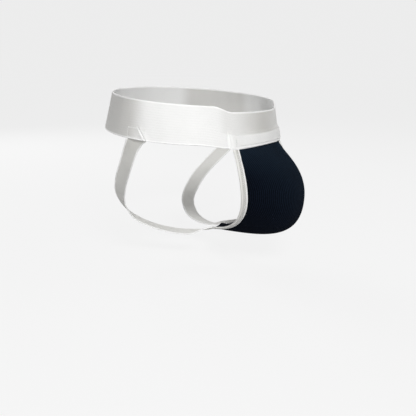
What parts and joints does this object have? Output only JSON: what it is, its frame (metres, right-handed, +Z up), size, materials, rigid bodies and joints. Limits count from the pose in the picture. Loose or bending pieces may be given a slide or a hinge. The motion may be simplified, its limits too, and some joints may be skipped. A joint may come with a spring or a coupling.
{
  "type": "groin protector",
  "caption": "Groin protector for contact sports: a wide elastic waistband carries a ribbed pouch that pockets a moulded cup, with an elastic strap under each leg.",
  "frame": {"origin": "centre of the waistband loop, at the middle of the band's width at the hips", "axes": "+X to the wearer's left, +Y to the wearer's back, +Z up"},
  "size_m": [0.3442, 0.3236, 0.2355],
  "materials": {
    "white_elastic": "woven elastic",
    "navy_rib_knit": "rib knit",
    "grey_lining": "plain knit",
    "cup_plastic": "moulded satin",
    "cushion_rubber": "soft matt",
    "sewing_thread": "polyester thread"
  },
  "bodies": {
    "waistband": {"waistband": "white_elastic", "waistband_lap": "white_elastic", "lap_stitching": "sewing_thread", "pouch_top_hem": "navy_rib_knit", "hem_stitching": "sewing_thread", "front_tack_left": "sewing_thread", "front_tack_right": "sewing_thread", "leg_strap_left": "white_elastic", "leg_strap_right": "white_elastic", "strap_tack_left": "sewing_thread", "strap_tack_right": "sewing_thread"},
    "pouch": {"pouch_front": "navy_rib_knit", "crotch_hem": "navy_rib_knit", "pouch_edge_elastic_left": "white_elastic", "pouch_edge_elastic_right": "white_elastic", "edge_stitching_left": "sewing_thread", "edge_stitching_right": "sewing_thread", "crotch_tack_left": "sewing_thread", "crotch_tack_right": "sewing_thread", "pouch_lining": "grey_lining", "pocket_binding": "grey_lining"},
    "cup": {"cup_shell": "cup_plastic", "cup_edge_cushion": "cushion_rubber"}
  },
  "joints": [
    {"name": "pouch_swing", "type": "hinge", "parent": "waistband", "child": "pouch", "pos_m": [0, -0.12981, -0.04279], "axis": [-1, 0, 0], "range_deg": [0, 20], "deforming": ["leg_strap_left", "leg_strap_right"]},
    {"name": "cup_slide", "type": "slide", "parent": "pouch", "child": "cup", "axis": [0, 0.9063, 0.4226], "range_m": [0, 0.16], "deforming": ["pouch_lining", "pocket_binding"]}
  ]
}
